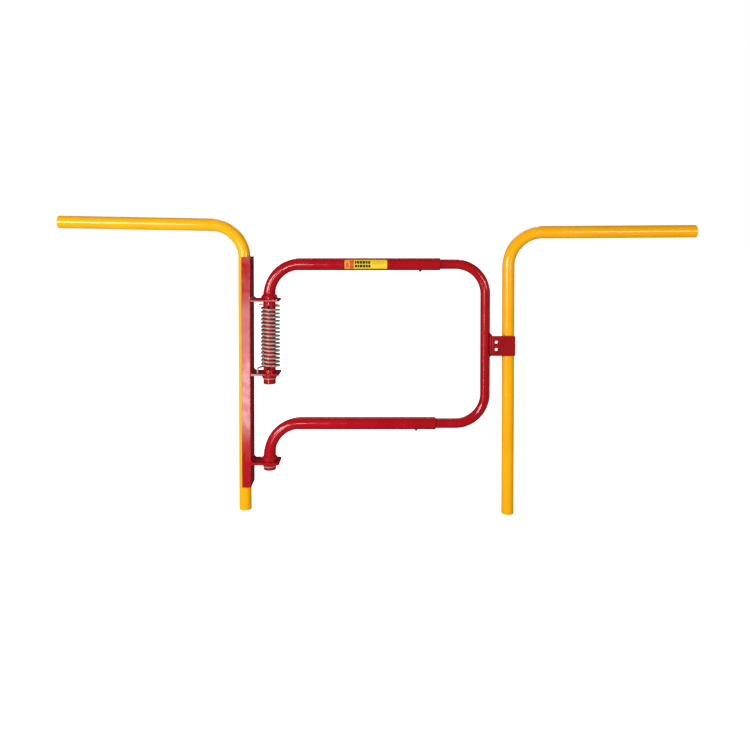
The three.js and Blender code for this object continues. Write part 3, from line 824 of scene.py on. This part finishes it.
def wire(path, r, n=16, tip=0.7):
    path = [np.asarray(p, float) for p in path]
    tangents = []
    for i in range(len(path)):
        t = path[min(i + 1, len(path) - 1)] - path[max(i - 1, 0)]
        tangents.append(t / np.linalg.norm(t))
    u = np.cross(tangents[0], [0, 0, 1.0])
    u /= np.linalg.norm(u)
    verts, faces = [], []
    count = len(path)
    for i, (p, t) in enumerate(zip(path, tangents)):
        u = u - t * float(u @ t)
        u /= np.linalg.norm(u)
        v = np.cross(t, u)
        q = r - tip if i in (0, count - 1) else r
        verts += [tuple(p + q * (math.cos(2 * math.pi * k / n) * u + math.sin(2 * math.pi * k / n) * v)) for k in range(n)]
    for i in range(count - 1):
        for k in range(n):
            l = (k + 1) % n
            faces.append((i * n + k, i * n + l, (i + 1) * n + l, (i + 1) * n + k))
    faces.append(tuple(range(n))[::-1])
    faces.append(tuple(range((count - 1) * n, count * n)))
    return verts, faces


spring = mesh_object("torsion_spring_wire", *wire(spring_path(), 3.0), STEEL, sharp=50)
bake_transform(spring)
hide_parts("torsion_spring")

# ------------------------------------------------------------------ sliding inner frame
frame_run = Run([(352, UPPER_Z), (825, UPPER_Z), (825, LOWER_Z), (352, LOWER_Z)], 102)
inner = mesh_object("inner_frame_pipe", *pipe(frame_run, INNER_R, INNER_BORE_R, thin=1.0), RED)
place(inner, SLIDE, "red_enamel", "inner_frame")


def stop_plate():
    """The bent angle: drawn flat along its developed length u, then folded."""
    tall = STOP_Z[1] - STOP_Z[0]
    leaf, ro = 30.0, 7.0
    mid = ro - STOP_T / 2
    bend_len = mid * math.pi / 2
    face = STOP_RIGHT_X - (STOP_LEFT_X + ro)
    total = leaf + bend_len + face
    r = 4.5
    outline = [(0, tall - 0.8), (0, 0.8), (0.8, 0)] + arc(total - r, r, r, -90, 0, 8) + arc(total - r, tall - r, r, 0, 90, 8) + [(0.8, tall)]
    u_hole = leaf + bend_len + (859.0 - (STOP_LEFT_X + ro))
    holes = [circle(u_hole, z - STOP_Z[0], 5.2, 40, clockwise=True) for z in (570.4, 595.2)]
    v, f = slab(outline, holes, 0, STOP_T, bevel=0.6, hole_bevel=0.45)
    # The stop plate takes the darker red copy: painted shade.
    ob = mesh_object("stop_plate_angle", v, f, RED_PLATE_PAINTED_SHADE)
    bm = bmesh.new()
    bm.from_mesh(ob.data)
    for k in range(13):
        u = leaf + bend_len * k / 12
        geom = bm.verts[:] + bm.edges[:] + bm.faces[:]
        bmesh.ops.bisect_plane(bm, geom=geom, plane_co=(u * MM, 0, 0), plane_no=(1, 0, 0), dist=1e-7)
    for vert in bm.verts:
        u, z, h = vert.co.x / MM, vert.co.y / MM, vert.co.z / MM
        cx, cy = STOP_LEFT_X + ro, STOP_FRONT_Y + ro
        if u <= leaf:
            x, y = STOP_LEFT_X + h, cy + (leaf - u)
        elif u <= leaf + bend_len:
            w = (u - leaf) / mid
            x, y = cx - (ro - h) * math.cos(w), cy - (ro - h) * math.sin(w)
        else:
            x, y = cx + (u - leaf - bend_len), STOP_FRONT_Y + h
        vert.co = (x * MM, y * MM, (STOP_Z[0] + z) * MM)
    bmesh.ops.recalc_face_normals(bm, faces=bm.faces)
    bm.to_mesh(ob.data)
    bm.free()
    finish_shading(ob)
    weighted(ob)
    place(ob, SLIDE, "red_enamel", "stop_plate")

    x0 = STOP_LEFT_X - 0.4
    parts = []
    for up in (1, -1):
        z = STOP_Z[1] - 0.3 if up > 0 else STOP_Z[0] + 0.3
        parts.append(bead(lambda s, z=z: (x0, 7.0 - s, z), lambda s: (6.2, 0, 0), lambda s, up=up: (0, 0, 7.0 * up), 17.0, seed=21 + up, taper=4.0))
    # seams down both sides of the contact line
    for side in (-1, 1):
        parts.append(
            bead(
                lambda s, side=side: (STOP_LEFT_X + 0.1, side * 5.0, STOP_Z[0] + 1.5 + s),
                lambda s, side=side: (0.0, side * 5.5, 0),
                lambda s, side=side: (-3.6, side * 2.6, 0),
                STOP_Z[1] - STOP_Z[0] - 3.0,
                seed=31 + side,
                taper=4.0,
            )
        )
    place(mesh_object("stop_plate_weld", *join_parts(parts), RED_WELD, sharp=60), SLIDE, "red_enamel")


stop_plate()


# ------------------------------------------------------------------ label: plain blocks and bars, no lettering
def wrap(x0, x1, a0, a1, r0, r1, corner=0.0, seg=2.0):
    """A thin sheet round the upper sleeve from x0 to x1 and from arc length a0 to a1 (0 faces the approach side, + is up)."""
    nx, na = max(2, int((x1 - x0) / seg)), max(2, int((a1 - a0) / 1.1))
    verts, faces = [], []

    def point(i, k, r):
        x, a = x0 + (x1 - x0) * i / nx, a0 + (a1 - a0) * k / na
        if corner:
            dx, da = min(x - x0, x1 - x), min(a - a0, a1 - a)
            if dx < corner and da < corner:
                d = math.hypot(corner - dx, corner - da)
                if d > corner:
                    k2 = corner / d
                    x += (1 if x - x0 < x1 - x else -1) * (corner - dx) * (1 - k2)
                    a += (1 if a - a0 < a1 - a else -1) * (corner - da) * (1 - k2)
        q = a / 21.7
        return (x, -r * math.cos(q), UPPER_Z + r * math.sin(q))

    for r in (r1, r0):
        for i in range(nx + 1):
            for k in range(na + 1):
                verts.append(point(i, k, r))
    m, half = na + 1, (nx + 1) * (na + 1)
    for i in range(nx):
        for k in range(na):
            q = (i * m + k, (i + 1) * m + k, (i + 1) * m + k + 1, i * m + k + 1)
            faces.append(q)
            faces.append(tuple(half + t for t in reversed(q)))
    rim = [i * m for i in range(nx + 1)] + [nx * m + k for k in range(1, na + 1)] + [i * m + na for i in range(nx - 1, -1, -1)] + [k for k in range(na - 1, 0, -1)]
    for t in range(len(rim)):
        a, b = rim[t], rim[(t + 1) % len(rim)]
        faces.append((a, half + a, half + b, b))
    return verts, faces


base = mesh_object("label_sheet", *wrap(343.7, 488.0, -17.3, 17.3, 21.38, 21.66, corner=2.5), LABEL)
place(base, GATE, "label_film", "sleeve_label")
R0, R1 = 21.655, 21.72
orange = [wrap(344.6, 360.8, -16.0, 16.0, R0, R1), wrap(344.6, 487.0, 15.4, 16.9, R0, R1), wrap(344.6, 487.0, -16.9, -15.6, R0, R1)]
place(mesh_object("label_orange_block", *join_parts(orange), INK_ORANGE), GATE, "label_film")
redp = [wrap(361.0, 375.4, -15.2, 15.0, R0, R1 + 0.01), wrap(348.2, 356.8, -10.2, 5.6, R1 - 0.01, R1 + 0.04, corner=1.4)]
place(mesh_object("label_red_block", *join_parts(redp), INK_RED), GATE, "label_film")
black = []
for row, (a0, a1) in enumerate(((2.2, 12.6), (-10.6, -0.6))):
    x = 378.4
    for width in ((5.6, 8.6, 7.4, 9.2, 6.6, 8.0), (7.8, 6.2, 9.4, 8.0, 6.8, 7.4))[row]:
        black.append(wrap(x, x + width, a0, a1, R0, R1, corner=1.0))
        x += width + 1.5
place(mesh_object("label_dark_blocks", *join_parts(black), INK_BLACK), GATE, "label_film")
olive = [wrap(437.0, x1, a, a + 1.5, R0, R1) for x1, a in ((483.0, 9.6), (476.0, 5.8), (483.0, 2.0), (470.0, -1.8))]
place(mesh_object("label_fine_bars", *join_parts(olive), INK_OLIVE), GATE, "label_film")

# ------------------------------------------------------------------ floor, light
def floor():
    m = bpy.data.materials.new("floor_white")
    m.use_nodes = True
    nt = m.node_tree
    bsdf = nt.nodes["Principled BSDF"]
    bsdf.inputs["Base Color"].default_value = (0.86, 0.86, 0.86, 1)
    bsdf.inputs["Roughness"].default_value = 1.0
    bsdf.inputs["Specular IOR Level"].default_value = 0.0
    bsdf.inputs["Emission Color"].default_value = (1, 1, 1, 1)
    bsdf.inputs["Emission Strength"].default_value = 1.0
    size, n = 60.0, 24
    verts = [((-0.5 + i / n) * size * 1000, (-0.5 + k / n) * size * 1000, -0.5) for i in range(n + 1) for k in range(n + 1)]
    faces = [(i * (n + 1) + k, (i + 1) * (n + 1) + k, (i + 1) * (n + 1) + k + 1, i * (n + 1) + k + 1) for i in range(n) for k in range(n)]
    ob = mesh_object("floor", verts, faces, m, outward=False)
    ob.visible_diffuse = False
    ob.visible_glossy = False


floor()

world = bpy.data.worlds.new("studio")
scene.world = world
world.use_nodes = True
wt = world.node_tree
background = wt.nodes["Background"]
tc = wt.nodes.new("ShaderNodeTexCoord")
xyz = wt.nodes.new("ShaderNodeSeparateXYZ")
wt.links.new(tc.outputs["Generated"], xyz.inputs[0])


def world_ramp(socket, lo, hi, a, b):
    r = wt.nodes.new("ShaderNodeMapRange")
    r.interpolation_type = "SMOOTHSTEP"
    for key, value in zip(("From Min", "From Max", "To Min", "To Max"), (lo, hi, a, b)):
        r.inputs[key].default_value = value
    wt.links.new(socket, r.inputs["Value"])
    return r.outputs["Result"]


def world_math(op, a, b):
    n = wt.nodes.new("ShaderNodeMath")
    n.operation = op
    for k, value in enumerate((a, b)):
        if isinstance(value, (int, float)):
            n.inputs[k].default_value = value
        else:
            wt.links.new(value, n.inputs[k])
    return n.outputs[0]


side = world_ramp(xyz.outputs["X"], -0.9, 0.9, 0.60, 0.36)
height = world_ramp(xyz.outputs["Z"], -0.5, 0.6, 1.20, 0.88)
back = world_ramp(xyz.outputs["Y"], -0.2, 0.7, 1.0, 0.75)
path = wt.nodes.new("ShaderNodeLightPath")
room = world_math("MULTIPLY", world_math("MULTIPLY", side, height), back)
shine = world_math("SUBTRACT", 1.0, world_math("MULTIPLY", path.outputs["Is Glossy Ray"], 0.92))
room = world_math("MULTIPLY", room, shine)
seen = world_math("MAXIMUM", room, path.outputs["Is Camera Ray"])
wt.links.new(seen, background.inputs["Strength"])
background.inputs["Color"].default_value = (1, 1, 1, 1)


def area(name, loc, look, width, height_, power, color=(1, 1, 1)):
    data = bpy.data.lights.new(name, "AREA")
    data.shape = "RECTANGLE"
    data.size, data.size_y = width, height_
    data.energy = power
    data.color = color
    ob = bpy.data.objects.new(name, data)
    scene.collection.objects.link(ob)
    ob.location = loc
    ob.rotation_euler = (Vector(look) - Vector(loc)).to_track_quat("-Z", "Y").to_euler()
    ob.visible_camera = False
    return ob


area("key_left", (-1.30, -2.15, 1.02), (0.35, 0, 0.60), 1.1, 0.75, 42)
area("fill_right", (2.15, -2.25, 1.02), (0.6, 0, 0.60), 0.9, 0.45, 18)
area("strip_front", (-0.08, -2.15, 0.66), (0.35, 0, 0.60), 0.07, 0.60, 5.6)
area("back_fill", (0.45, 1.90, 2.70), (0.45, 0, 0.55), 2.0, 0.7, 16)
area("low_front", (-0.165, -1.0, 0.19), (0.0, 0, 0.45), 0.13, 0.34, 1.7)
area("low_front_edge", (-0.165, -1.0, 0.50), (0.0, 0, 0.50), 0.13, 0.28, 0.72)
